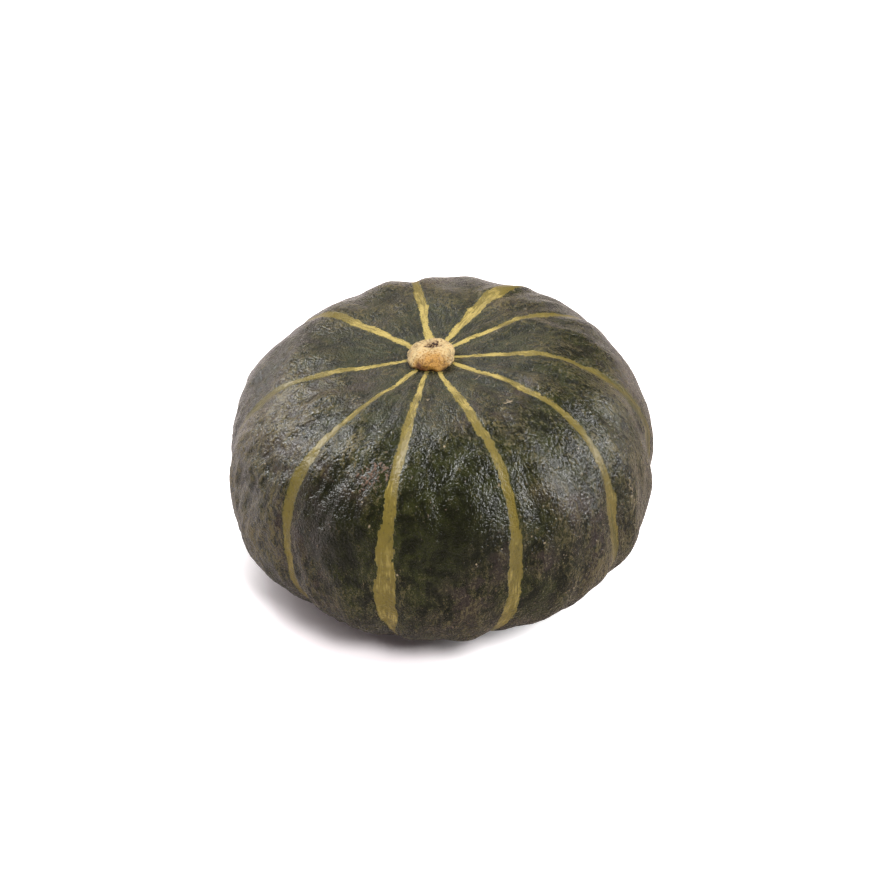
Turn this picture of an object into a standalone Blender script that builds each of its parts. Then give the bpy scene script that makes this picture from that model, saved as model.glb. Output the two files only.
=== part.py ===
"""A green kabocha squash: the ribbed fruit, one solid, and the corky stub of its stem.

Metres, +Z up. The fruit rests at z = 0 on the small flat spot that it grew on, and the
origin is under the middle of its box. Its axis, from the blossom end to the stem, leans
a few degrees towards -X, because the flat spot is beside the blossom end.
Shapes are worked out in the fruit's own frame, with the widest part at z = 0 and the
stem end up, and are leaned and set down at the end.
"""

import math

import bmesh
import bpy
from mathutils import Matrix, Vector

# Driving dimensions of the fruit.
RADIUS = 0.090
RISE = 0.0723            # widest part to the top, if the hollow round the stem were filled
DROP = 0.0525            # widest part to the blossom end
SHOULDER_POWER = 2.52    # 2 is an ellipse, more is squarer
BASE_POWER = 2.13
DIMPLE_DEPTH = 0.0128    # the hollow round the stem
DIMPLE_RADIUS = 0.0511
LEAN = math.radians(4.25)
FLAT_DEPTH = 0.0012      # how far the underside is pressed flat
TALL_SIDE = math.radians(-52)    # the side that is a little taller, and by what share
TALL_SHARE = 0.039
LONG_SIDE = math.radians(-20)    # the side that is a little longer, and by what share
LONG_SHARE = 0.011

# The furrows between the ribs, in degrees: the direction of each where it crosses the
# shoulder, how far it leans over on its way down, and how far it bows.
FURROWS = (
    (-172.5, -6.5, 4.5), (-134.5, -8.0, 10.0), (-102.5, -4.0, 0.5), (-67.5, 1.0, -10.0),
    (-36.0, -1.0, -0.5), (-7.5, 4.5, 1.5), (28.0, 1.5, 6.5), (57.5, 0.5, -0.5),
    (97.0, -2.0, -6.0), (140.5, 0.0, 0.5),
)
SHOULDER_ANGLE = 0.9     # polar angle at which a furrow has the direction above
FURROW_DEPTH = 0.014     # as a share of the radius
FURROW_HALF_WIDTH = math.radians(5)
RIB_ROUNDING = 0.007     # how far a rib's edges stand in from its middle, as another share

# Driving dimensions of the stem's stub.
STEM_RADIUS = 0.0097
STEM_HEIGHT = 0.0072     # above the bottom of the dimple
STEM_ROOT = 0.0030       # below it, before the fruit's surface is cut away
STEM_OFFSET = Vector((0.0002, -0.0034, 0))   # from the fruit's axis
STEM_SHOULDER_POWER = 2.6
STEM_PIT_DEPTH = 0.0012
STEM_PIT_RADIUS = 0.0045
STEM_NECK = 0.93         # width of the root, as a share of the cap's
STEM_LOBES = ((2, 0.030, 0.2), (3, 0.020, 1.7), (4, 0.035, 3.14))  # count, height, phase
GAP = 0.0003             # between the stub and the fruit

# Mesh fineness.
STEPS_PER_RIB = 8
FRUIT_RINGS = 38
STEM_SEGMENTS = 40
STEM_RINGS = 22

RIND_COLOUR = (0.035, 0.040, 0.020, 1)
CORK_COLOUR = (0.70, 0.44, 0.18, 1)


def clear_scene():
    for obj in list(bpy.data.objects):
        bpy.data.objects.remove(obj, do_unlink=True)


def collection(name, shown):
    group = bpy.data.collections.new(name)
    group.hide_render = not shown
    bpy.context.scene.collection.children.link(group)
    return group


def material(name, colour, roughness):
    made = bpy.data.materials.new(name)
    made.use_nodes = True
    shader = made.node_tree.nodes["Principled BSDF"]
    shader.inputs["Base Color"].default_value = colour
    shader.inputs["Roughness"].default_value = roughness
    shader.inputs["Metallic"].default_value = 0
    return made


def power_curve(polar, power):
    """Radius and height of a superellipse of size 1 at this angle from its top."""
    radius = max(math.sin(polar), 0.0) ** (2 / power)
    height = math.copysign(abs(math.cos(polar)) ** (2 / power), math.cos(polar))
    return radius, height


def fruit_profile(polar):
    """Radius and height of the fruit along the middle of a rib."""
    if polar > math.pi / 2:
        radius, height = power_curve(polar, BASE_POWER)
        return radius * RADIUS, height * DROP
    radius, height = power_curve(polar, SHOULDER_POWER)
    dimple = DIMPLE_DEPTH * math.exp(-((radius * RADIUS / DIMPLE_RADIUS) ** 2))
    return radius * RADIUS, height * RISE - dimple


def furrow_direction(index, polar):
    """Direction of a furrow at this polar angle. Index 10 is the first one, a turn later."""
    turns, place = divmod(index, len(FURROWS))
    direction, tilt, bow = FURROWS[place]
    along = math.sin(polar - SHOULDER_ANGLE)
    return math.radians(direction + 360 * turns + tilt * along + bow * along ** 2)


def fruit_point(around, polar):
    """A point of the fruit. Around counts the ribs: 2.5 is the middle of the third rib."""
    rib = math.floor(around)
    across = around - rib
    start = furrow_direction(rib, polar)
    end = furrow_direction(rib + 1, polar)
    to_furrow = min(across, 1 - across) * (end - start)
    direction = start + across * (end - start)
    radius, height = fruit_profile(polar)
    height *= 1 + TALL_SHARE * math.cos(direction - TALL_SIDE) * radius / RADIUS
    rounding = RIB_ROUNDING * (1 - math.sin(math.pi * across))
    furrow = FURROW_DEPTH * math.exp(-((to_furrow / FURROW_HALF_WIDTH) ** 2))
    radius *= 1 - (rounding + furrow) * radius / RADIUS
    radius *= 1 + LONG_SHARE * math.cos(2 * (direction - LONG_SIDE))
    return Vector((radius * math.cos(direction), radius * math.sin(direction), height))


def shaped_sphere(segments, rings, point_at):
    """A unit sphere whose points are moved to point_at(share of the turn, polar angle)."""
    mesh = bmesh.new()
    bmesh.ops.create_uvsphere(mesh, u_segments=segments, v_segments=rings, radius=1)
    for vert in mesh.verts:
        column = round(math.atan2(vert.co.y, vert.co.x) * segments / math.tau) % segments
        polar = math.acos(max(-1.0, min(1.0, vert.co.z)))
        vert.co = point_at(column / segments, polar)
    return mesh


def fruit_body():
    """The fruit in its own frame, closed and without its flat spot."""
    ribs = len(FURROWS)
    return shaped_sphere(ribs * STEPS_PER_RIB, FRUIT_RINGS,
                         lambda turn, polar: fruit_point(turn * ribs, polar))


def resting_place(mesh):
    """The lean and the move that set the fruit down on its flat spot, over the origin."""
    lean = Matrix.Rotation(-LEAN, 4, "Y")
    points = [lean @ vert.co for vert in mesh.verts]
    low = [min(point[axis] for point in points) for axis in range(3)]
    high = [max(point[axis] for point in points) for axis in range(3)]
    move = Vector((-(low[0] + high[0]) / 2, -(low[1] + high[1]) / 2, -low[2] - FLAT_DEPTH))
    return Matrix.Translation(move) @ lean


def press_flat(mesh):
    """Cuts away what is below z = 0 and closes the cut with one flat face."""
    everything = mesh.verts[:] + mesh.edges[:] + mesh.faces[:]
    cut = bmesh.ops.bisect_plane(mesh, geom=everything, plane_co=(0, 0, 0),
                                 plane_no=(0, 0, -1), clear_outer=True)
    rim = [item for item in cut["geom_cut"] if isinstance(item, bmesh.types.BMEdge)]
    bmesh.ops.contextual_create(mesh, geom=rim)
    bmesh.ops.recalc_face_normals(mesh, faces=mesh.faces[:])


def stem_point(turn, polar):
    """A point of the stub, in a frame with the bottom of the dimple at z = 0."""
    direction = turn * math.tau
    radius, height = power_curve(polar, STEM_SHOULDER_POWER)
    if height < 0:
        radius *= 1 - (1 - STEM_NECK) * -height
    lobes = 1 + sum(size * math.cos(count * direction - phase)
                    for count, size, phase in STEM_LOBES)
    middle = (STEM_HEIGHT - STEM_ROOT) / 2
    pit = STEM_PIT_DEPTH * math.exp(-((radius * STEM_RADIUS / STEM_PIT_RADIUS) ** 2))
    height = middle + height * (STEM_HEIGHT + STEM_ROOT) / 2 - (pit if height > 0 else 0)
    width = radius * lobes * STEM_RADIUS
    return Vector((width * math.cos(direction), width * math.sin(direction), height))


def add_object(name, mesh, group, finish=None):
    data = bpy.data.meshes.new(name)
    mesh.to_mesh(data)
    mesh.free()
    if finish:
        data.materials.append(finish)
    data.shade_smooth()
    data.set_sharp_from_angle(angle=math.radians(40))
    obj = bpy.data.objects.new(name, data)
    group.objects.link(obj)
    return obj


def add_fruit(group):
    """The fruit, and the placing that takes its own frame to the scene's."""
    mesh = fruit_body()
    placing = resting_place(mesh)
    bmesh.ops.transform(mesh, matrix=placing, verts=mesh.verts)
    press_flat(mesh)
    return add_object("fruit", mesh, group, material("rind", RIND_COLOUR, 0.42)), placing


def add_stem(group, cutters, placing):
    """The stub, its underside cut to the fruit's surface with a thin gap between them."""
    mesh = shaped_sphere(STEM_SEGMENTS, STEM_RINGS, stem_point)
    foot = STEM_OFFSET + Vector((0, 0, RISE - DIMPLE_DEPTH))
    bmesh.ops.transform(mesh, matrix=placing @ Matrix.Translation(foot), verts=mesh.verts)
    stem = add_object("stem", mesh, group, material("cork", CORK_COLOUR, 0.75))

    raised = fruit_body()
    bmesh.ops.transform(raised, matrix=Matrix.Translation((0, 0, GAP)) @ placing,
                        verts=raised.verts)
    cutter = add_object("raised_fruit", raised, cutters)
    cutter.hide_render = True
    cutter.display_type = "WIRE"
    seat = stem.modifiers.new("seat", "BOOLEAN")
    seat.operation = "DIFFERENCE"
    seat.solver = "EXACT"
    seat.object = cutter
    return stem


def main():
    clear_scene()
    squash = collection("kabocha_squash", True)
    cutters = collection("cutters", False)
    placing = add_fruit(squash)[1]
    add_stem(squash, cutters, placing)


main()
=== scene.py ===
"""A green kabocha squash on a pale studio floor, laid out as an add-on.

The fruit and the stub of its stem are modelled over the frame's two solids, in metres,
+Z up. Shapes are worked out in the fruit's own frame, with its widest part at z = 0 and
its stem end up, and are then leaned and set down where the frame has them.
"""
import math

import bpy
import numpy as np
from bpy.props import FloatProperty, FloatVectorProperty, IntProperty, PointerProperty
from mathutils import Matrix, Vector, noise


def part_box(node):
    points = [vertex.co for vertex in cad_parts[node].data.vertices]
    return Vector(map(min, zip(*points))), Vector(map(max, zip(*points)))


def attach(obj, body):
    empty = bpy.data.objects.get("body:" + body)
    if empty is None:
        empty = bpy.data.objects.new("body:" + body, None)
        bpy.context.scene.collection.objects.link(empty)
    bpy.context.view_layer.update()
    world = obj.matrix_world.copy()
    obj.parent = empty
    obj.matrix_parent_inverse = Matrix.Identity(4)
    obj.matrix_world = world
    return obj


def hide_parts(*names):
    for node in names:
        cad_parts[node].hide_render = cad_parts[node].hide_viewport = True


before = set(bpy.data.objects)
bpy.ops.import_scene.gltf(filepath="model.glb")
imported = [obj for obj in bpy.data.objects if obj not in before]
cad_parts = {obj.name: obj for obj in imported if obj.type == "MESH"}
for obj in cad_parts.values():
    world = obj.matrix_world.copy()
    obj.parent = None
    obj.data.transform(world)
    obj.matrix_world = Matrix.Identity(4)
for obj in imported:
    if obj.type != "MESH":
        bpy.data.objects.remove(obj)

bl_info = {
    "name": "Kabocha squash",
    "version": (1, 0, 0),
    "blender": (4, 5, 0),
    "location": "3D View > Sidebar > Squash",
    "description": "Models a green kabocha squash with its stem stub on a pale floor",
    "category": "Add Mesh",
}

MM = 0.001
PROFILE_STEPS = 6000    # steps in which the length of a rib is measured

# The furrows between the ribs, in degrees: the direction of each where it crosses the
# shoulder, how far it leans over on its way down, and how far it bows.
FURROWS = np.array((
    (-172.5, -6.5, 4.5), (-134.5, -8.0, 10.0), (-102.5, -4.0, 0.5), (-67.5, 1.0, -10.0),
    (-36.0, -1.0, -0.5), (-7.5, 4.5, 1.5), (28.0, 1.5, 6.5), (57.5, 0.5, -0.5),
    (97.0, -2.0, -6.0), (140.5, 0.0, 0.5),
))
SHOULDER_ANGLE = 0.9    # polar angle at which a furrow has the direction above

# The stripe in each furrow: its width in millimetres at the places of STRIPE_PLACES, how
# much of it splits into strands, and how green it is half-way down.
STRIPE_PLACES = (0.05, 0.15, 0.25, 0.32, 0.38, 0.44, 0.50, 0.56, 0.62, 0.75)
STRIPES = (
    ((1.7, 2.6, 3.0, 4.4, 4.6, 3.6, 4.6, 4.0, 3.0, 0.0), 0.45, 0.75),
    ((1.4, 2.6, 3.4, 4.8, 5.0, 4.4, 3.6, 3.6, 2.6, 0.0), 0.15, 0.35),
    ((1.2, 3.7, 4.8, 4.4, 5.8, 7.0, 9.2, 7.0, 1.6, 0.0), 0.05, 0.20),
    ((1.8, 3.3, 3.8, 4.2, 4.0, 5.4, 6.2, 6.3, 5.0, 0.0), 0.20, 0.25),
    ((1.6, 2.4, 2.8, 3.6, 3.4, 5.0, 6.4, 5.0, 3.0, 0.0), 0.40, 0.20),
    ((1.9, 3.0, 3.0, 4.2, 5.4, 5.8, 6.0, 5.0, 4.0, 0.0), 0.85, 0.30),
    ((2.0, 2.9, 2.8, 3.0, 3.4, 3.6, 4.0, 4.0, 3.0, 0.0), 0.15, 0.20),
    ((2.2, 5.2, 7.2, 7.0, 6.0, 5.0, 5.0, 4.0, 3.0, 0.0), 0.80, 0.15),
    ((3.0, 3.8, 3.6, 3.6, 4.0, 4.4, 5.0, 5.0, 3.0, 0.0), 0.25, 0.20),
    ((2.6, 3.8, 4.4, 5.0, 5.2, 5.0, 5.0, 4.4, 3.0, 0.0), 0.20, 0.20),
)

# The relief of the rind: how far apart the bumps of each kind are, in metres, and the seed
# of their noise. Where there are three figures, the last is down the ribs.
LUMPS = (0.034, 1)
RIDGES = ((0.0088, 0.0088, 0.050), 2)
WRINKLES = ((0.0040, 0.0040, 0.0120), 6)
CREASES = ((0.0023, 0.0023, 0.0058), 9)
PEBBLES = (0.0021, 7)
WRINKLED_PATCHES = (0.045, 8)
STRIPE_WAVER = ((0.012, 0.012, 0.009), 31)
SWIRLS = ((0.030, 3), (0.030, 4), (0.030, 5))
SWIRL_REACH = 0.007                # how far a swirl carries the wrinkles, in metres
SMOOTH_BY_STRIPE = 2.2 * MM        # half-width of the smoother skin along a stripe
BARE_FOOT = (0.0004, 0.0080)       # heights between which the relief sets in

# Round outline of the stem stub: lobes round it, share of the radius, and turn. The last
# squares it off, with a flat side in front.
STEM_LOBES = ((2, 0.030, 0.2), (3, 0.020, 1.7), (4, 0.035, 3.14))

# Marks on the rind: direction in degrees, share of the way from the stem to the blossom
# end, half its width and length in millimetres, kind (0 corky scar, 1 weathered patch,
# 2 pale flecks), and strength. Kind 1 is partly painted light: some patches are painted
# sheen and one a painted highlight, and where the strength is negative the patch is
# painted shade, smooth and dark.
MARKS = (
    (-111.0, 0.305, 5.0, 6.5, 0, 1.0), (-105.0, 0.290, 5.0, 7.0, 0, 0.7),
    (-14.0, 0.052, 1.6, 1.6, 0, 1.2), (38.0, 0.380, 4.0, 3.0, 0, 0.9),
    (122.0, 0.460, 3.0, 6.0, 0, 0.9),
    # Kind 1: weathered patches. Those at -163, -166 and -146 on the left edge and at -20
    # and -42 on the right are partly painted sheen. The narrow one at -120.6 is a painted
    # highlight along a ridge.
    (-163.0, 0.270, 20.0, 18.0, 1, 0.7), (-166.0, 0.440, 18.0, 26.0, 1, 0.7),
    (-146.0, 0.480, 20.0, 16.0, 1, 0.8), (-120.6, 0.255, 3.0, 10.0, 1, 0.9),
    (-20.0, 0.450, 14.0, 26.0, 1, 1.0), (-42.0, 0.560, 20.0, 14.0, 1, 0.7),
    (-8.0, 0.320, 16.0, 15.0, 1, 0.7),
    (134.0, 0.180, 20.0, 13.0, 1, 0.6), (60.0, 0.180, 22.0, 13.0, 1, 0.6),
    (100.0, 0.400, 24.0, 20.0, 1, 0.6), (170.0, 0.540, 22.0, 18.0, 1, 0.6),
    (35.0, 0.520, 22.0, 18.0, 1, 0.5),
    # Painted shade: the smooth dark patches of negative strength.
    (-82.0, 0.390, 20.0, 24.0, 1, -0.8), (-120.0, 0.400, 17.0, 20.0, 1, -1.1),
    (75.0, 0.500, 18.0, 20.0, 1, -0.7), (148.0, 0.340, 18.0, 20.0, 1, -0.7),
    (-136.7, 0.175, 3.0, 4.0, 2, 0.9), (-91.7, 0.135, 1.3, 1.6, 2, 1.3),
    (-45.5, 0.110, 4.0, 1.2, 2, 1.0), (-49.8, 0.195, 5.0, 2.0, 2, 1.0),
    (-37.0, 0.360, 3.0, 9.0, 2, 0.8), (-53.0, 0.565, 4.0, 2.0, 2, 1.0),
    (-29.0, 0.460, 2.0, 10.0, 2, 1.0), (-57.0, 0.475, 12.0, 12.0, 2, 0.45),
    (62.0, 0.350, 4.0, 5.0, 2, 0.9), (110.0, 0.500, 5.0, 3.0, 2, 0.9),
    (175.0, 0.400, 4.0, 4.0, 2, 0.9),
)

# The soft lights: name, azimuth and elevation in degrees, distance, size, power, and
# whether it lights "matt" surfaces or is mirrored as "gloss".
LIGHTS = (
    ("left shine", -112, 38, 0.95, (0.38, 0.40), 13.5, "gloss"),
    ("right shine", 78, 23, 1.05, (0.38, 0.34), 15.5, "gloss"),
    ("back shine", 178, 38, 1.30, (0.80, 0.40), 3.0, "gloss"),
    ("key light", 18, 48, 1.20, (0.26, 0.26), 15.0, "matt"),
    ("left light", -70, 50, 1.20, (0.50, 0.40), 3.0, "matt"),
    ("overhead softbox", 172, 74, 1.40, (1.4, 1.2), 20.5, "matt"),
)
LIGHTS_AIM = Vector((0, 0, 0.06))
SHADOW_MIDDLE = (-0.022, -0.01, 0)
SHADOW_RIM = (0.044, 0.086)     # distances from there between which the floor turns white
FLOOR_UNEVENNESS = 0.985        # the floor's dimmest patches, as a share of its colour
BLACK, WHITE = (0, 0, 0, 1), (1, 1, 1, 1)


class SquashSizes(bpy.types.PropertyGroup):
    radius: FloatProperty(
        name="Radius", description="From the axis to the widest part of a rib",
        default=0.090, unit="LENGTH")
    rise: FloatProperty(
        name="Rise", description="Widest part to the top, were the hollow filled",
        default=0.0723, unit="LENGTH")
    drop: FloatProperty(
        name="Drop", description="Widest part to the blossom end",
        default=0.0525, unit="LENGTH")
    shoulder_power: FloatProperty(
        name="Shoulder", description="2 is an ellipse, more is squarer", default=2.52)
    base_power: FloatProperty(
        name="Base", description="2 is an ellipse, more is squarer", default=2.13)
    dimple_depth: FloatProperty(
        name="Hollow depth", description="Depth of the hollow round the stem",
        default=0.0128, unit="LENGTH")
    dimple_radius: FloatProperty(
        name="Hollow radius", description="Spread of the hollow round the stem",
        default=0.0511, unit="LENGTH")
    lean: FloatProperty(
        name="Lean", description="How far the stem end leans towards -X",
        default=math.radians(4.25), subtype="ANGLE")
    flat_depth: FloatProperty(
        name="Flat spot", description="How far the underside is pressed flat",
        default=0.0012, unit="LENGTH")
    tall_side: FloatProperty(
        name="Taller side", description="Direction of the taller side",
        default=math.radians(-52), subtype="ANGLE")
    tall_share: FloatProperty(
        name="Taller by", description="How much taller that side is", default=0.039)
    long_side: FloatProperty(
        name="Longer side", description="Direction in which the fruit is longer",
        default=math.radians(-20), subtype="ANGLE")
    long_share: FloatProperty(
        name="Longer by", description="How much longer it is", default=0.011)
    furrow_depth: FloatProperty(
        name="Furrow depth", description="As a share of the radius", default=0.014)
    furrow_width: FloatProperty(
        name="Furrow width", description="From a furrow's bottom to its flank",
        default=math.radians(5), subtype="ANGLE")
    rib_rounding: FloatProperty(
        name="Rib rounding", description="How far a rib's edges stand in, as a share",
        default=0.007)
    lump_height: FloatProperty(
        name="Lumps", description="Height of the broad lumps",
        default=0.0012, unit="LENGTH")
    ridge_height: FloatProperty(
        name="Ridges", description="Height of the long ridges along each rib",
        default=0.0018, unit="LENGTH")
    wrinkle_height: FloatProperty(
        name="Wrinkles", description="Height of the short wrinkles",
        default=0.00065, unit="LENGTH")
    wrinkled_side: FloatProperty(
        name="Wrinkled side", description="Direction of the most wrinkled side",
        default=math.radians(-150), subtype="ANGLE")
    crease_height: FloatProperty(
        name="Creases", description="Height of the fine creases between wrinkles",
        default=0.00016, unit="LENGTH")
    furrow_crease: FloatProperty(
        name="Furrow crease", description="Depth of the sharp crease in each furrow",
        default=0.0003, unit="LENGTH")
    scar_radius: FloatProperty(
        name="End scar", description="Radius of the scar at the blossom end",
        default=0.0055, unit="LENGTH")
    scar_depth: FloatProperty(
        name="End scar depth", description="Depth of the scar at the blossom end",
        default=0.0012, unit="LENGTH")
    pebble_height: FloatProperty(
        name="Pebbles", description="Height of the pebbled skin",
        default=0.00012, unit="LENGTH")
    columns_per_rib: IntProperty(
        name="Columns", description="Mesh columns across each rib", default=48)
    rings: IntProperty(
        name="Rings", description="Mesh rings from stem to blossom end", default=200)


class StemSizes(bpy.types.PropertyGroup):
    radius: FloatProperty(
        name="Radius", description="Radius of the corky cap",
        default=0.0097, unit="LENGTH")
    height: FloatProperty(
        name="Height", description="Above the bottom of the hollow",
        default=0.0072, unit="LENGTH")
    root: FloatProperty(
        name="Root", description="Depth of the root below the fruit's surface",
        default=0.0016, unit="LENGTH")
    offset: FloatVectorProperty(
        name="Offset", description="From the fruit's axis", size=3,
        default=(0.0002, -0.0034, 0.0), subtype="TRANSLATION")
    shoulder_power: FloatProperty(
        name="Shoulder", description="2 is an ellipse, more is squarer", default=2.5)
    neck: FloatProperty(
        name="Neck", description="Width of the root, as a share of the cap's",
        default=0.93)
    bruise: FloatVectorProperty(
        name="Bruise", description="Place of the reddish-brown bruise", size=3,
        default=(-0.0046, -0.0080, 0.0022), subtype="TRANSLATION")
    raw_side: FloatVectorProperty(
        name="Raw side", description="Middle of the orange-tan side of the cap", size=3,
        default=(0.0006, -0.0088, 0.0030), subtype="TRANSLATION")
    knob_height: FloatProperty(
        name="Knobs", description="Height of the knobs of cork",
        default=0.0015, unit="LENGTH")
    crack_depth: FloatProperty(
        name="Cracks", description="Depth of the cracks in the cork",
        default=0.0003, unit="LENGTH")
    pit_depth: FloatProperty(
        name="Pit", description="Depth of the pit in the cap",
        default=0.0011, unit="LENGTH")
    pit_radius: FloatProperty(
        name="Pit radius", description="Spread of the pit from side to side",
        default=0.0036, unit="LENGTH")
    pit_place: FloatVectorProperty(
        name="Pit place", description="Middle of the pit, from the cap's own", size=2,
        default=(0.0008, 0.0026), subtype="TRANSLATION")
    crumb_height: FloatProperty(
        name="Crumbs", description="Height of the crumbling surface",
        default=0.00016, unit="LENGTH")
    columns: IntProperty(
        name="Columns", description="Mesh columns round the stub", default=160)
    rings: IntProperty(
        name="Rings", description="Mesh rings from top to root", default=110)


def colour_property(name, description, colour):
    return FloatVectorProperty(name=name, description=description, size=3, min=0, max=1,
                               default=colour, subtype="COLOR")


class SquashColours(bpy.types.PropertyGroup):
    rind_dark: colour_property(
        "Dark rind", "Darkest green of the rind", (0.0070, 0.0074, 0.0028))
    rind_green: colour_property(
        "Green rind", "Plain green of the rind", (0.0205, 0.0225, 0.0066))
    rind_grey: colour_property(
        "Weathered rind", "Dry, weathered skin", (0.106, 0.084, 0.032))
    rind_brown: colour_property(
        "Brown rind", "Brown and purple tinge", (0.032, 0.020, 0.021))
    stripe_yellow: colour_property(
        "Yellow stripe", "Brightest yellow of the stripes", (0.360, 0.275, 0.075))
    stripe_olive: colour_property(
        "Olive stripe", "Duller yellow of the stripes", (0.138, 0.103, 0.017))
    stripe_green: colour_property(
        "Green stripe", "Green edge of the stripes", (0.030, 0.034, 0.008))
    fleck: colour_property(
        "Flecks", "Pale corky flecks", (0.280, 0.220, 0.140))
    scar: colour_property(
        "Scar", "Reddish-brown corky scar", (0.150, 0.078, 0.055))
    cork_pale: colour_property(
        "Pale cork", "Dry cream cork", (0.480, 0.360, 0.180))
    cork_tan: colour_property(
        "Tan cork", "Orange-tan cork", (0.370, 0.195, 0.045))
    cork_deep: colour_property(
        "Deep cork", "Brown of the cracks and the pit", (0.030, 0.013, 0.008))
    cork_bruise: colour_property(
        "Bruised cork", "Reddish brown of the bruise", (0.120, 0.038, 0.018))


class StudioSettings(bpy.types.PropertyGroup):
    target: FloatVectorProperty(
        name="Target", description="Where the camera looks", size=3,
        default=(0.00066, 0.00037, 0.06513), subtype="TRANSLATION")
    elevation: FloatProperty(
        name="Elevation", description="Camera's height above the horizon",
        default=math.radians(38.5), subtype="ANGLE")
    distance: FloatProperty(
        name="Distance", description="Camera to target", default=1.08, unit="LENGTH")
    focal_length: FloatProperty(
        name="Lens", description="Focal length in millimetres", default=103.3,
        unit="CAMERA")
    floor_colour: colour_property("Floor", "Colour of the floor", (0.86, 0.80, 0.815))
    fill: FloatProperty(
        name="Fill", description="Strength of the light from all round", default=0.28)
    fill_colour: colour_property(
        "Fill colour", "Colour of the light from all round", (1.0, 0.88, 0.87))


# ---------------------------------------------------------------- shape of the fruit


def power_curve(polar, power):
    """Radius and height of a superellipse of size 1 at these angles from its top."""
    radius = np.clip(np.sin(polar), 0, None) ** (2 / power)
    height = np.sign(np.cos(polar)) * np.abs(np.cos(polar)) ** (2 / power)
    return radius, height


def fruit_profile(sizes, polar):
    """Radius and height of the fruit along the middle of a rib."""
    radius, height = power_curve(polar, sizes.shoulder_power)
    hollow = np.exp(-((radius * sizes.radius / sizes.dimple_radius) ** 2))
    height = height * sizes.rise - sizes.dimple_depth * hollow
    low_radius, low_height = power_curve(polar, sizes.base_power)
    above = polar <= math.pi / 2
    radius = np.where(above, radius, low_radius) * sizes.radius
    return radius, np.where(above, height, low_height * sizes.drop)


def furrow_direction(index, polar):
    """Direction of a furrow at this polar angle. Index 10 is the first, a turn later."""
    turns, place = np.divmod(index, len(FURROWS))
    direction, tilt, bow = FURROWS[place].T
    along = np.sin(polar - SHOULDER_ANGLE)
    return np.radians(direction + 360 * turns + tilt * along + bow * along ** 2)


def even_polar(sizes, rings):
    """Polar angles of rings at even distances down a rib, and those distances."""
    fine = np.linspace(0, math.pi, PROFILE_STEPS)
    radius, height = fruit_profile(sizes, fine)
    walked = np.cumsum(np.hypot(np.diff(radius), np.diff(height)))
    walked = np.concatenate([[0.0], walked])
    places = np.linspace(0, walked[-1], rings + 1)
    return np.interp(places, walked, fine), places


def rind_surface(sizes, rib, across, polar):
    """Points of the plain ribbed fruit, and how each lies to its nearest furrow."""
    start, end = furrow_direction(rib, polar), furrow_direction(rib + 1, polar)
    direction = start + across * (end - start)
    to_furrow = np.minimum(across, 1 - across) * (end - start)
    radius, height = fruit_profile(sizes, polar)
    taller = np.cos(direction - sizes.tall_side) * radius / sizes.radius
    height *= 1 + sizes.tall_share * taller
    rounding = sizes.rib_rounding * (1 - np.sin(math.pi * across))
    furrow = sizes.furrow_depth * np.exp(-((to_furrow / sizes.furrow_width) ** 2))
    radius *= 1 - (rounding + furrow) * radius / sizes.radius
    radius *= 1 + sizes.long_share * np.cos(2 * (direction - sizes.long_side))
    points = np.stack([radius * np.cos(direction), radius * np.sin(direction), height], 1)
    return points, dict(
        direction=direction, radius=radius, gap=to_furrow * radius,
        rib_half=(end - start) * radius / 2, side=np.where(across > 0.5, -1.0, 1.0),
        nearest=(rib + (across > 0.5)) % len(FURROWS))


def fruit_placing(sizes):
    """The lean and the move that set the fruit down where the frame has it."""
    steps, rings = 24, 200
    column = np.repeat(np.arange(len(FURROWS) * steps), rings + 1)
    polar = np.tile(even_polar(sizes, rings)[0], len(FURROWS) * steps)
    rib, step = np.divmod(column, steps)
    points, _ = rind_surface(sizes, rib, step / steps, polar)
    lean = Matrix.Rotation(-sizes.lean, 4, "Y")
    turned = moved(points, lean)
    low, high = (np.array(corner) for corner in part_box("fruit"))
    move = (low + high - turned.min(0) - turned.max(0)) / 2
    move[2] = -turned[:, 2].min() - sizes.flat_depth
    return Matrix.Translation(move) @ lean


def moved(points, matrix):
    matrix = np.array(matrix)
    return points @ matrix[:3, :3].T + matrix[:3, 3]


def grid_places(mesh, columns, rings):
    """Column and ring of each point of a new ball of radius 1."""
    points = read_points(mesh)
    column = np.rint(np.arctan2(points[:, 1], points[:, 0]) * columns / math.tau)
    ring = np.rint(np.arccos(np.clip(points[:, 2], -1, 1)) * rings / math.pi)
    return column.astype(int) % columns, ring.astype(int)


def read_points(mesh):
    points = np.empty(len(mesh.vertices) * 3, np.float32)
    mesh.vertices.foreach_get("co", points)
    return points.reshape(-1, 3).astype(float)


def write_points(mesh, points):
    mesh.vertices.foreach_set("co", points.astype(np.float32).ravel())
    mesh.update()


def read_normals(mesh):
    normals = np.empty(len(mesh.vertices) * 3, np.float32)
    mesh.vertex_normals.foreach_get("vector", normals)
    return normals.reshape(-1, 3).astype(float)


def write_attribute(mesh, name, values):
    attribute = mesh.attributes.new(name, "FLOAT_VECTOR", "POINT")
    attribute.data.foreach_set("vector", values.astype(np.float32).ravel())


def ripple(points, spacing, seed):
    """Smooth noise from about -1 to 1, with bumps about this far apart on each axis."""
    places = points / np.array(spacing) + np.array((17.3, 5.1, 9.7)) * seed
    return np.array([noise.noise(place) for place in places.tolist()])


def smooth_step(value, low, high):
    share = np.clip((value - low) / (high - low), 0, 1)
    return share * share * (3 - 2 * share)


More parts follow.
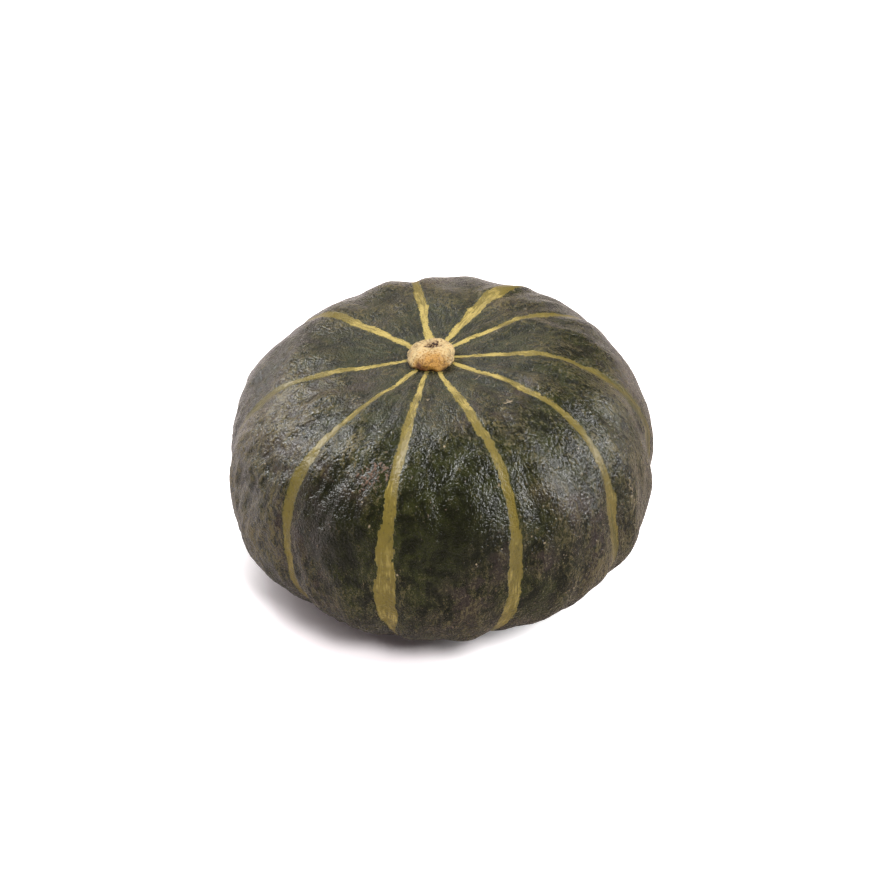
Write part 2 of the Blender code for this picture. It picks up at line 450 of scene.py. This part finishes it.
def add_ball(name, columns, rings):
    """A new ball of radius 1, rolled up from a flat grid, its seam and poles closed."""
    bpy.ops.object.select_all(action="DESELECT")
    bpy.ops.mesh.primitive_grid_add(x_subdivisions=columns, y_subdivisions=rings, size=2)
    ball = bpy.context.object
    ball.name = ball.data.name = name
    flat = read_points(ball.data)
    turn, polar = flat[:, 0] * math.pi, (1 - flat[:, 1]) * math.pi / 2
    out = np.sin(polar)
    points = np.stack([out * np.cos(turn), out * np.sin(turn), np.cos(polar)], 1)
    write_points(ball.data, points)
    bpy.ops.object.mode_set(mode="EDIT")
    bpy.ops.mesh.select_all(action="SELECT")
    bpy.ops.mesh.remove_doubles(threshold=0.00001)
    bpy.ops.mesh.normals_make_consistent(inside=False)
    bpy.ops.object.mode_set(mode="OBJECT")
    return ball


def flow_points(sizes, turn, walk, radius):
    """Coordinates that run round the fruit and down its ribs, with no seam.

    They are drawn together a little towards the stem, so grain narrows there.
    """
    spread = 0.25 * sizes.radius + 0.5 * radius
    return np.stack([spread * np.cos(turn), spread * np.sin(turn), walk], 1)


def stripe_looks(places, share, flow):
    """Half-width, strands and greenness of the nearest stripe at each point."""
    half, strands, green = np.zeros((3, len(share)))
    half_way = np.exp(-(((share - 0.36) / 0.14) ** 2))
    for index, (widths, splitting, greenness) in enumerate(STRIPES):
        here = places["nearest"] == index
        half[here] = np.interp(share[here], STRIPE_PLACES, widths) * MM / 2
        strands[here] = splitting * smooth_step(share[here], 0.2, 0.4)
        green[here] = greenness * half_way[here]
    waver = ripple(flow, *STRIPE_WAVER)
    return half * (1 + 0.16 * waver), strands, green


def roughen_rind(fruit, sizes, places, flow, placed):
    """Raises lumps, ridges, wrinkles and pebbles, less where the fruit rests."""
    normals = read_normals(fruit.data)
    warped = flow + np.stack([ripple(placed, *swirl) for swirl in SWIRLS], 1) * SWIRL_REACH
    worn = (0.5 + 0.5 * np.cos(places["direction"] - sizes.wrinkled_side)) ** 7
    patches = ripple(placed, *WRINKLED_PATCHES)
    strength = np.clip(0.13 + 1.15 * worn + 0.25 * patches, 0.08, 1.4)
    strength *= 0.35 + 0.65 * smooth_step(places["radius"], 0.030, 0.075)
    lumps = ripple(placed, *LUMPS)
    ridges = ripple(warped, *RIDGES)
    wrinkles = 1 - 2 * np.abs(ripple(warped, *WRINKLES))
    creases = ripple(warped, *CREASES)
    pebbles = ripple(placed, *PEBBLES)
    in_stripe = np.exp(-((places["gap"] / SMOOTH_BY_STRIPE) ** 2))
    near_stem = smooth_step(places["radius"], 0.006, 0.035)
    height = sizes.lump_height * lumps + sizes.ridge_height * ridges
    height += sizes.wrinkle_height * strength * (wrinkles - 0.4) * (1 - 0.6 * in_stripe)
    height += sizes.crease_height * strength * creases
    height += sizes.furrow_crease * -in_stripe
    height = height * near_stem + sizes.pebble_height * pebbles
    height *= smooth_step(placed[:, 2], *BARE_FOOT)
    raised = placed + normals * height[:, None]
    raised[:, 2] = np.maximum(raised[:, 2], 0)
    raised[:, 2] += blossom_scar(sizes, flow) * sizes.scar_depth
    write_points(fruit.data, raised)
    return height


def blossom_scar(sizes, flow):
    """1 at the blossom end's small round scar, fading to 0 round it."""
    to_end = flow[:, 2].max() - flow[:, 2]
    return np.exp(-((to_end / sizes.scar_radius) ** 4))


def marks_with_painted_light(places, share, flow):
    """How much of each kind of mark lies at each point of the rind; kind 1 holds painted
    sheen, a painted highlight and, where negative, painted shade.
    """
    found = np.zeros((len(share), 3))
    length = flow[:, 2].max()
    for direction, place, width, tall, kind, strength in MARKS:
        turn = places["direction"] - math.radians(direction)
        aside = np.arctan2(np.sin(turn), np.cos(turn)) * places["radius"]
        along = (share - place) * length
        found[:, kind] += strength * np.exp(
            -((aside / (width * MM)) ** 2 + (along / (tall * MM)) ** 2))
    return found


def build_fruit(sizes, colours):
    columns = len(FURROWS) * sizes.columns_per_rib
    fruit = add_ball("rind", columns, sizes.rings)
    column, ring = grid_places(fruit.data, columns, sizes.rings)
    ring_polar, ring_walk = even_polar(sizes, sizes.rings)
    walk = ring_walk[ring]
    rib, step = np.divmod(column, sizes.columns_per_rib)
    across = step / sizes.columns_per_rib
    points, places = rind_surface(sizes, rib, across, ring_polar[ring])
    placed = moved(points, fruit_placing(sizes))
    placed[:, 2] = np.maximum(placed[:, 2], 0)
    write_points(fruit.data, placed)

    share = walk / walk.max()
    flow = flow_points(sizes, column * math.tau / columns, walk, places["radius"])
    half, strands, green = stripe_looks(places, share, flow)
    height = roughen_rind(fruit, sizes, places, flow, placed)
    to_middle = places["gap"] / np.maximum(places["rib_half"], MM / 10)
    signed = places["side"] * places["gap"] * (1 - to_middle ** 6)
    marks = marks_with_painted_light(places, share, flow)
    marks[:, 0] = np.maximum(marks[:, 0], 1.4 * blossom_scar(sizes, flow))
    write_attribute(fruit.data, "flow", flow)
    write_attribute(fruit.data, "stripe", np.stack([places["gap"], half, signed], 1))
    write_attribute(fruit.data, "looks", np.stack([strands, green, height], 1))
    write_attribute(fruit.data, "marks", marks)

    bpy.ops.object.shade_smooth()
    fruit.data.materials.append(rind_material(colours))
    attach(fruit, "root")
    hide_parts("fruit")
    return fruit


# ------------------------------------------------------------------ shape of the stem


def stem_points(stem, sizes):
    """The cap's points, in a frame with the bottom of the hollow at z = 0."""
    column, ring = grid_places(stem.data, sizes.columns, sizes.rings)
    direction = column * math.tau / sizes.columns
    polar = ring * math.pi / sizes.rings
    radius, height = power_curve(polar, sizes.shoulder_power)
    radius *= np.where(height < 0, 1 + (1 - sizes.neck) * height, 1)
    for count, share, turn in STEM_LOBES:
        radius *= 1 + share * np.cos(count * direction - turn)
    width = radius * sizes.radius
    height = ((sizes.height - sizes.root) + height * (sizes.height + sizes.root)) / 2
    return np.stack([width * np.cos(direction), width * np.sin(direction), height], 1)


def roughen_stem(stem, sizes, points):
    """Knobs of cork, a few cracks round the rim, and a pit with holes in the top."""
    normals = read_normals(stem.data)
    turn = np.arctan2(points[:, 1], points[:, 0])
    out = np.hypot(points[:, 0], points[:, 1])
    upright = np.stack([np.cos(turn) * 0.008, np.sin(turn) * 0.008, points[:, 2]], 1)
    knobs = 0.8 * ripple(points, 0.0052, 11) + 0.55 * ripple(upright, 0.0024, 12)
    cracks = np.clip(1 - 5 * np.abs(ripple(upright, (0.0032, 0.0032, 0.0050), 13)), 0, 1)
    cracks *= smooth_step(out, 0.004, 0.0075)
    share = points[:, 2] / sizes.height
    top = smooth_step(share, 0.55, 0.9)
    from_pit = (points[:, :2] - np.array(sizes.pit_place)) * (1.0, 1.5)
    pit = np.exp(-((np.hypot(*from_pit.T) / sizes.pit_radius) ** 2)) * top
    holes = smooth_step(ripple(points, 0.0013, 15), 0.10, 0.35) * pit
    crumbs = ripple(points, 0.0009, 14)
    height = (sizes.knob_height * knobs - sizes.crack_depth * cracks
              - sizes.pit_depth * (0.45 * pit + holes) + sizes.crumb_height * crumbs)
    from_raw = np.linalg.norm((points - sizes.raw_side) / (1.15, 1.0, 1.0), axis=1)
    write_attribute(stem.data, "cracks_pit_and_height", np.stack([cracks, pit + holes, share], 1))
    write_attribute(stem.data, "raw", np.stack([from_raw, knobs, crumbs], 1))
    return points + normals * height[:, None]


def build_stem(sizes, squash, colours):
    stem = add_ball("stub", sizes.columns, sizes.rings)
    points = stem_points(stem, sizes)
    write_points(stem.data, points)
    points = roughen_stem(stem, sizes, points)
    foot = Vector(sizes.offset) + Vector((0, 0, squash.rise - squash.dimple_depth))
    matrix = fruit_placing(squash) @ Matrix.Translation(foot)
    write_points(stem.data, moved(points, matrix))
    bpy.ops.object.shade_smooth()
    bruise = matrix @ Vector(sizes.bruise)
    stem.data.materials.append(cork_material(colours, bruise))
    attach(stem, "root")
    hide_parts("stem")
    return stem


# --------------------------------------------------------------------------- finishes


GRAIN, FLECKS = "drawn-out grain", "scattered flecks"
WANDER = (0.007, 0.007, 0.007)    # how far the grain wanders, in metres
STRIPE_SWAY = 0.0026              # how far a stripe sways from side to side
STRIPE_LEAVES = 0.0016            # how far it can stand out from its furrow
STRIPE_TEETH = 0.0021             # length of the teeth along its edge
STRIPE_EDGE = 0.00012             # softness of that edge


class Shading:
    """Short calls for wiring up one node tree."""

    def __init__(self, tree):
        self.tree = tree

    def add(self, kind, inputs, **settings):
        node = self.tree.nodes.new(kind)
        for name, value in settings.items():
            setattr(node, name, value)
        for key, value in inputs.items():
            self.give(node.inputs[key], value)
        return node

    def give(self, socket, value):
        if isinstance(value, bpy.types.NodeSocket):
            self.tree.links.new(value, socket)
        else:
            socket.default_value = value

    def math(self, operation, first, second=0.0):
        return self.add("ShaderNodeMath", {0: first, 1: second},
                        operation=operation).outputs[0]

    def times(self, first, second):
        return self.math("MULTIPLY", first, second)

    def plus(self, first, second):
        return self.math("ADD", first, second)

    def weigh(self, *pairs):
        """The sum of these values, each times its weight."""
        total = self.times(*pairs[0])
        for value, weight in pairs[1:]:
            total = self.plus(total, self.times(value, weight))
        return total

    def largest(self, *values):
        largest = values[0]
        for value in values[1:]:
            largest = self.math("MAXIMUM", largest, value)
        return largest

    def step(self, value, low, high, start=0.0, end=1.0):
        """A smooth change from start to end as the value goes from low to high."""
        return self.add("ShaderNodeMapRange", {0: value, 1: low, 2: high, 3: start, 4: end},
                        interpolation_type="SMOOTHSTEP").outputs[0]

    def blend(self, share, first, second):
        """The first colour, with this share of the second mixed in."""
        node = self.add("ShaderNodeMix", {0: share, 6: first, 7: second}, data_type="RGBA")
        return node.outputs[2]

    def stretch(self, vector, factors):
        return self.add("ShaderNodeVectorMath", {0: vector, 1: factors},
                        operation="MULTIPLY").outputs[0]

    def shift(self, vector, by):
        return self.add("ShaderNodeVectorMath", {0: vector, 1: by},
                        operation="ADD").outputs[0]

    def noise(self, vector, scale=1.0, detail=2.0, roughness=0.5):
        return self.add("ShaderNodeTexNoise", {
            "Vector": vector, "Scale": scale, "Detail": detail, "Roughness": roughness})

    def distance(self, vector, place):
        return self.add("ShaderNodeVectorMath", {0: vector, 1: place},
                        operation="DISTANCE").outputs["Value"]

    def attribute(self, name):
        return self.add("ShaderNodeAttribute", {}, attribute_name=name).outputs["Vector"]

    def parts(self, vector):
        return self.add("ShaderNodeSeparateXYZ", {0: vector}).outputs

    def group(self, group, inputs):
        node = self.tree.nodes.new("ShaderNodeGroup")
        node.node_tree = group
        for key, value in inputs.items():
            self.give(node.inputs[key], value)
        return node.outputs[0]

    def grain(self, vector, width, length, detail):
        """Noise drawn out along Z, its width and length in millimetres."""
        return self.group(shared_group(GRAIN, grain_group), {
            "Vector": vector, "Width": width, "Length": length, "Detail": detail})

    def flecks(self, vector, spacing, size, share):
        """Scattered spots, at a spacing in millimetres."""
        return self.group(shared_group(FLECKS, flecks_group), {
            "Vector": vector, "Spacing": spacing, "Size": size, "Share": share})

    def bump(self, bumps):
        """The normal that these bumps give, their height in millimetres."""
        return self.add("ShaderNodeBump", {
            "Strength": 1.0, "Distance": MM, "Height": bumps}).outputs[0]


def rgba(colour):
    return (*colour, 1.0)


def new_group(name, inputs, output):
    """An empty node group with these (socket name, type, default) inputs."""
    group = bpy.data.node_groups.new(name, "ShaderNodeTree")
    for label, kind, default in inputs:
        socket = group.interface.new_socket(label, in_out="INPUT", socket_type=kind)
        if default is not None:
            socket.default_value = default
    group.interface.new_socket(output, in_out="OUTPUT", socket_type="NodeSocketFloat")
    entry = group.nodes.new("NodeGroupInput")
    leave = group.nodes.new("NodeGroupOutput")
    return group, entry.outputs, leave.inputs


def grain_group():
    """Noise drawn out along Z, from 0 to 1, its width and length in millimetres."""
    group, given, result = new_group(GRAIN, (
        ("Vector", "NodeSocketVector", None), ("Width", "NodeSocketFloat", 1.0),
        ("Length", "NodeSocketFloat", 4.0), ("Detail", "NodeSocketFloat", 2.0)), "Grain")
    draw = Shading(group)
    wide = draw.math("DIVIDE", 1000.0, given["Width"])
    long = draw.math("DIVIDE", 1000.0, given["Length"])
    factors = draw.add("ShaderNodeCombineXYZ", {0: wide, 1: wide, 2: long}).outputs[0]
    grain = draw.noise(draw.stretch(given["Vector"], factors), detail=given["Detail"])
    group.links.new(grain.outputs[0], result["Grain"])
    return group


def flecks_group():
    """Scattered spots, 1 inside each, at a spacing in millimetres."""
    group, given, result = new_group(FLECKS, (
        ("Vector", "NodeSocketVector", None), ("Spacing", "NodeSocketFloat", 5.0),
        ("Size", "NodeSocketFloat", 0.2), ("Share", "NodeSocketFloat", 0.5)), "Flecks")
    draw = Shading(group)
    scale = draw.math("DIVIDE", 1000.0, given["Spacing"])
    cells = draw.add("ShaderNodeTexVoronoi", {"Vector": given["Vector"], "Scale": scale})
    chance = draw.parts(cells.outputs["Color"])
    size = draw.times(given["Size"], draw.plus(chance[1], 0.3))
    inside = draw.step(draw.math("SUBTRACT", size, cells.outputs["Distance"]), 0.0, 0.06)
    there = draw.math("LESS_THAN", chance[0], given["Share"])
    group.links.new(draw.times(inside, there), result["Flecks"])
    return group


def new_material(name):
    material = bpy.data.materials.new(name)
    material.use_nodes = True
    material.node_tree.nodes.clear()
    draw = Shading(material.node_tree)
    shader = draw.add("ShaderNodeBsdfPrincipled", {})
    out = draw.add("ShaderNodeOutputMaterial", {})
    material.node_tree.links.new(shader.outputs[0], out.inputs["Surface"])
    return material, draw, shader


def shared_group(name, make):
    return bpy.data.node_groups.get(name) or make()


def rind_material(colours):
    """Dark waxy green rind, mottled and streaked, with ragged yellow stripes."""
    material, draw, shader = new_material("waxy rind")
    spot = draw.add("ShaderNodeTexCoord", {}).outputs["Object"]
    wander = draw.noise(spot, 60.0, 2.0).outputs["Color"]
    flow = draw.shift(draw.attribute("flow"), draw.stretch(wander, WANDER))
    strands, greenness, height = draw.parts(draw.attribute("looks"))
    scar, wear_and_painted_light, pale = draw.parts(draw.attribute("marks"))

    hair = draw.grain(flow, 0.85, 2.6, 2.0)
    strand = draw.grain(flow, 2.2, 8.0, 3.0)
    blotch = draw.noise(spot, 150.0, 4.0, 0.6).outputs[0]
    cloud = draw.noise(spot, 27.0, 2.0).outputs[0]
    pebble = draw.noise(spot, 820.0, 2.0, 0.6).outputs[0]

    # Plain rind: dark, with greener blotches, weathered hairlines and a brown tinge; the
    # weathered grey is partly painted light, a painted highlight on raised relief and on
    # the marks of kind 1.
    green = draw.step(draw.weigh((blotch, 0.6), (strand, 0.4)), 0.40, 0.60)
    rind = draw.blend(green, rgba(colours.rind_dark), rgba(colours.rind_green))
    tinge = draw.times(draw.step(cloud, 0.48, 0.66), draw.step(blotch, 0.42, 0.58))
    rind = draw.blend(draw.times(tinge, 0.6), rind, rgba(colours.rind_brown))
    line = draw.step(draw.math("ABSOLUTE", draw.plus(hair, -0.5)), 0.045, 0.0)
    # Painted light: the relief's height adds to the grey, so raised skin is painted
    # lighter, a painted highlight, and hollows darker, painted shade.
    weather_and_painted_light = draw.weigh(
        (hair, 0.44), (strand, 0.28), (pebble, 0.28), (line, 0.09), (height, 25.0),
        (draw.plus(cloud, -0.5), 0.16), (wear_and_painted_light, 0.08))
    grey = draw.step(weather_and_painted_light, 0.52, 0.70)
    rind = draw.blend(draw.times(grey, 0.90), rind, rgba(colours.rind_grey))

    # Painted shade: where a mark's strength is negative, the skin is painted dark.
    rind = draw.blend(draw.step(wear_and_painted_light, -0.1, -0.9, 0.0, 0.65), rind, rgba(colours.rind_dark))

    # Pale flecks, most of them tiny, and corky scars.
    dots = draw.flecks(spot, 4.5, 0.11, 0.35)
    dashes = draw.flecks(draw.stretch(flow, (1, 1, 0.4)), 7.0, 0.09, 0.30)
    crumb = draw.weigh((pebble, 0.7), (hair, 0.3), (line, 0.06))
    corky = draw.step(draw.plus(draw.times(scar, 0.17), crumb), 0.66, 0.74)
    worn = draw.step(draw.plus(draw.times(pale, 0.20), crumb), 0.70, 0.80)
    marks = draw.largest(dots, dashes, worn)
    rind = draw.blend(draw.times(marks, 0.8), rind, rgba(colours.fleck))
    rind = draw.blend(draw.times(corky, 0.6), rind, rgba(colours.scar))

    # Stripes: how far inside the stripe's ragged edge this place is, in metres.
    gap, half, across = draw.parts(draw.attribute("stripe"))
    sway = draw.grain(flow, 9.0, 22.0, 1.0)
    across = draw.plus(across, draw.times(draw.plus(sway, -0.5), STRIPE_SWAY))
    away = draw.largest(draw.math("ABSOLUTE", across), draw.plus(gap, -STRIPE_LEAVES))
    notch = draw.grain(flow, 2.6, 11.0, 2.0)
    tooth = draw.grain(flow, 0.8, 1.8, 3.0)
    ragged = draw.times(draw.plus(notch, -0.5), draw.plus(draw.times(half, 0.9), 0.0004))
    ragged = draw.plus(ragged, draw.times(draw.plus(tooth, -0.5), STRIPE_TEETH))
    inside = draw.plus(draw.math("SUBTRACT", half, away), ragged)
    wide = draw.step(half, 0.0002, 0.0008)
    stripe = draw.times(draw.step(inside, -STRIPE_EDGE, STRIPE_EDGE), wide)
    border = draw.times(draw.step(inside, -0.0010, 0.0), wide)
    rind = draw.blend(draw.times(border, 0.5), rind, rgba(colours.stripe_green))

    walk = draw.parts(flow)[2]
    lane = draw.add("ShaderNodeCombineXYZ", {0: across, 1: half, 2: walk}).outputs[0]
    thread = draw.grain(lane, 1.3, 26.0, 2.0)
    dark_thread = draw.times(draw.step(thread, 0.52, 0.44), strands)
    wash = draw.noise(flow, 130.0, 3.0).outputs[0]
    fibre = draw.grain(lane, 0.6, 6.0, 2.0)
    ripe = draw.weigh((wash, 0.5), (fibre, 0.5))
    ripe = draw.plus(ripe, draw.step(walk, 0.012, 0.060, -0.12, 0.10))
    olive = draw.step(draw.plus(ripe, draw.times(greenness, 0.25)), 0.38, 0.62)
    yellow = draw.blend(olive, rgba(colours.stripe_yellow), rgba(colours.stripe_olive))
    yellow = draw.blend(draw.times(greenness, 0.5), yellow, rgba(colours.stripe_green))
    soiled = draw.times(draw.step(tooth, 0.56, 0.68), 0.5)
    yellow = draw.blend(soiled, yellow, rgba(colours.stripe_green))
    yellow = draw.blend(draw.times(dark_thread, 0.9), yellow, rgba(colours.stripe_green))
    skin = draw.blend(stripe, rind, yellow)

    bumps = draw.weigh((pebble, 0.72), (hair, 0.30), (strand, 0.28))
    bumps = draw.times(bumps, draw.step(stripe, 0, 1, 1.0, 0.6))
    bumps = draw.plus(bumps, draw.times(draw.largest(marks, corky), 0.07))

    # The skin is duller where it is weathered, and within this far of the stem.
    dull = draw.weigh((grey, 0.16), (hair, 0.16), (corky, 0.30), (stripe, 0.16))
    dull = draw.plus(dull, draw.step(walk, 0.032, 0.062, 0.30, 0.0))
    draw.give(shader.inputs["Base Color"], skin)
    draw.give(shader.inputs["Roughness"], draw.plus(dull, 0.17))
    draw.give(shader.inputs["Normal"], draw.bump(bumps))
    shader.inputs["IOR"].default_value = 1.45
    shader.inputs["Sheen Weight"].default_value = 0.13
    shader.inputs["Sheen Roughness"].default_value = 0.35
    shader.inputs["Sheen Tint"].default_value = (1.0, 0.80, 0.58, 1)
    return material


def cork_material(colours, bruise):
    """Dry cork, cream on top, tan on its flanks, brown in the pit, and painted shadow
    underneath at its foot.
    """
    material, draw, shader = new_material("dry cork")
    spot = draw.add("ShaderNodeTexCoord", {}).outputs["Object"]
    crack, pit, share = draw.parts(draw.attribute("cracks_pit_and_height"))
    patch = draw.noise(spot, 280.0, 3.0, 0.6).outputs[0]
    fine = draw.noise(spot, 1300.0, 3.0, 0.6).outputs[0]
    fibre = draw.grain(spot, 0.7, 1.6, 3.0)
    pores = draw.flecks(spot, 1.2, 0.20, 0.35)

    # Cream on the dry top and on the knobs, tan on the raw side and in streaks.
    raw, knobs, crumbs = draw.parts(draw.attribute("raw"))
    side = draw.step(raw, 0.0020, 0.0105, 0.22, -0.16)
    blotched = draw.weigh((patch, 0.45), (fine, 0.55), (knobs, -0.09))
    tan = draw.step(draw.plus(blotched, side), 0.36, 0.66)
    cork = draw.blend(tan, rgba(colours.cork_pale), rgba(colours.cork_tan))
    streak = draw.times(draw.step(fibre, 0.50, 0.66), 0.6)
    cork = draw.blend(streak, cork, rgba(colours.cork_tan))
    cork = draw.blend(draw.times(pores, 0.5), cork, rgba(colours.cork_deep))
    far = draw.plus(draw.distance(spot, tuple(bruise)), draw.times(patch, 0.004))
    bruised = draw.step(far, 0.0062, 0.0034, 0.0, 0.85)
    cork = draw.blend(bruised, cork, rgba(colours.cork_bruise))
    stain = draw.step(draw.plus(pit, draw.times(fine, 0.5)), 0.45, 1.0, 0.0, 0.45)
    cork = draw.blend(stain, cork, rgba(colours.cork_bruise))

    # Deep brown in the cracks, in the pit and in specks; at the foot it is painted shadow
    # under the cap's overhang, and between the knobs painted shade in the hollows.
    cracked = draw.step(crack, 0.35, 1.0, 0.0, 0.55)
    foot = draw.step(share, 0.25, 0.13, 0.0, 0.92)
    hollow_shade = draw.step(draw.plus(knobs, draw.times(crumbs, 0.5)), -0.10, -1.1, 0.0, 0.55)
    hole = draw.times(draw.step(pit, 0.40, 0.85), draw.step(fine, 0.38, 0.50))
    specks = draw.times(draw.step(draw.plus(fine, draw.times(tan, 0.06)), 0.57, 0.70), 0.6)
    deep_brown_and_painted_shade = draw.largest(cracked, foot, hollow_shade, hole, specks)
    cork = draw.blend(deep_brown_and_painted_shade, cork, rgba(colours.cork_deep))

    bumps = draw.weigh((fine, 0.34), (fibre, 0.40), (pores, -0.12))
    draw.give(shader.inputs["Base Color"], cork)
    draw.give(shader.inputs["Roughness"], draw.step(fine, 0.2, 0.8, 0.62, 0.85))
    draw.give(shader.inputs["Normal"], draw.bump(bumps))
    shader.inputs["IOR"].default_value = 1.4
    return material


def floor_material(colour):
    """Plain pale board, dimmer where the rind mirrors it.

    It glows for the camera beyond the fruit's shadow, so it is as white as the world.
    """
    material, draw, shader = new_material("pale floor")
    spot = draw.add("ShaderNodeTexCoord", {}).outputs["Object"]
    cloud = draw.noise(spot, 3.0, 3.0).outputs[0]
    dimmer = tuple(FLOOR_UNEVENNESS * part for part in colour)
    shade = draw.blend(cloud, rgba(dimmer), rgba(colour))
    path = draw.add("ShaderNodeLightPath", {}).outputs
    across, back, _ = draw.parts(spot)
    toward = draw.plus(draw.times(back, 0.8), draw.times(across, -0.6))
    dim = draw.times(path["Is Glossy Ray"], draw.step(toward, -0.10, 0.26, 0.87, 0.15))
    shade = draw.blend(dim, shade, BLACK)
    far = draw.step(draw.distance(spot, SHADOW_MIDDLE), *SHADOW_RIM)
    draw.give(shader.inputs["Base Color"], shade)
    draw.give(shader.inputs["Emission Color"], WHITE)
    draw.give(shader.inputs["Emission Strength"], draw.times(path["Is Camera Ray"], far))
    shader.inputs["Roughness"].default_value = 0.8
    shader.inputs["Specular IOR Level"].default_value = 0.2
    return material


# ------------------------------------------------------------------------------ stage


def add_softbox(name, azimuth, elevation, distance, size, power, kind):
    """A rectangular soft light. Azimuth 0 is in front, on the camera's side, 90 is +X."""
    turn, lift = math.radians(azimuth), math.radians(elevation)
    way = Vector((math.sin(turn) * math.cos(lift), -math.cos(turn) * math.cos(lift),
                  math.sin(lift)))
    place = LIGHTS_AIM + way * distance
    bpy.ops.object.light_add(type="AREA", location=place,
                             rotation=way.to_track_quat("Z", "Y").to_euler())
    light = bpy.context.object
    light.name = light.data.name = name
    light.data.shape = "RECTANGLE"
    light.data.size, light.data.size_y = size
    light.data.energy = power
    light.visible_glossy = kind == "gloss"
    light.visible_diffuse = kind == "matt"


def build_world(fill, tint):
    """Even light from all round, seen by the camera as plain white, but not mirrored."""
    world = bpy.data.worlds.new("white studio")
    world.use_nodes = True
    world.node_tree.nodes.clear()
    draw = Shading(world.node_tree)
    seen = draw.add("ShaderNodeLightPath", {}).outputs["Is Camera Ray"]
    strength = draw.add("ShaderNodeMapRange", {0: seen, 3: fill, 4: 1.0}).outputs[0]
    colour = draw.blend(seen, rgba(tint), WHITE)
    glow = draw.add("ShaderNodeBackground", {"Color": colour, "Strength": strength})
    out = draw.add("ShaderNodeOutputWorld", {})
    world.node_tree.links.new(glow.outputs[0], out.inputs["Surface"])
    world.cycles_visibility.glossy = False
    bpy.context.scene.world = world


def build_camera(studio):
    back = Vector((0, -math.cos(studio.elevation), math.sin(studio.elevation)))
    place = Vector(studio.target) + back * studio.distance
    bpy.ops.object.camera_add(location=place,
                              rotation=back.to_track_quat("Z", "Y").to_euler())
    camera = bpy.context.object
    camera.name = "camera"
    camera.data.lens = studio.focal_length
    camera.data.sensor_width = 36
    camera.data.clip_start = 0.01
    bpy.context.scene.camera = camera


def build_stage(studio):
    bpy.ops.object.select_all(action="DESELECT")
    bpy.ops.mesh.primitive_plane_add(size=12)
    floor = bpy.context.object
    floor.name = floor.data.name = "floor"
    floor.data.materials.append(floor_material(studio.floor_colour))
    for light in LIGHTS:
        add_softbox(*light)
    build_world(studio.fill, studio.fill_colour)
    build_camera(studio)
    bpy.context.scene.view_settings.view_transform = "Standard"


# ------------------------------------------------------------------- add-on and script


class SQUASH_OT_fruit(bpy.types.Operator):
    """Model the ribbed fruit with its waxy, striped rind"""

    bl_idname = "squash.fruit"
    bl_label = "Add fruit"

    def execute(self, context):
        build_fruit(context.scene.squash_sizes, context.scene.squash_colours)
        return {"FINISHED"}


class SQUASH_OT_stem(bpy.types.Operator):
    """Model the corky stub of the stem"""

    bl_idname = "squash.stem"
    bl_label = "Add stem stub"

    def execute(self, context):
        scene = context.scene
        build_stem(scene.stem_sizes, scene.squash_sizes, scene.squash_colours)
        return {"FINISHED"}


class SQUASH_OT_stage(bpy.types.Operator):
    """Set up the floor, the soft lights and the camera"""

    bl_idname = "squash.stage"
    bl_label = "Add stage"

    def execute(self, context):
        build_stage(context.scene.squash_studio)
        return {"FINISHED"}


class SQUASH_PT_panel(bpy.types.Panel):
    """Buttons and sizes of the squash"""

    bl_idname = "SQUASH_PT_panel"
    bl_label = "Kabocha squash"
    bl_space_type = "VIEW_3D"
    bl_region_type = "UI"
    bl_category = "Squash"

    def draw(self, context):
        scene = context.scene
        for operator in (SQUASH_OT_fruit, SQUASH_OT_stem, SQUASH_OT_stage):
            self.layout.operator(operator.bl_idname)
        for group in (scene.squash_sizes, scene.stem_sizes, scene.squash_colours,
                      scene.squash_studio):
            box = self.layout.box()
            for name in group.__annotations__:
                box.prop(group, name)


GROUPS = {
    "squash_sizes": SquashSizes,
    "stem_sizes": StemSizes,
    "squash_colours": SquashColours,
    "squash_studio": StudioSettings,
}
CLASSES = (*GROUPS.values(), SQUASH_OT_fruit, SQUASH_OT_stem, SQUASH_OT_stage,
           SQUASH_PT_panel)


def register():
    for made in CLASSES:
        bpy.utils.register_class(made)
    for name, group in GROUPS.items():
        setattr(bpy.types.Scene, name, PointerProperty(type=group))


def unregister():
    for name in GROUPS:
        delattr(bpy.types.Scene, name)
    for made in reversed(CLASSES):
        bpy.utils.unregister_class(made)


def main():
    register()
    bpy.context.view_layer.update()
    bpy.ops.squash.stage()
    bpy.ops.squash.fruit()
    bpy.ops.squash.stem()


if __name__ == "__main__":
    main()
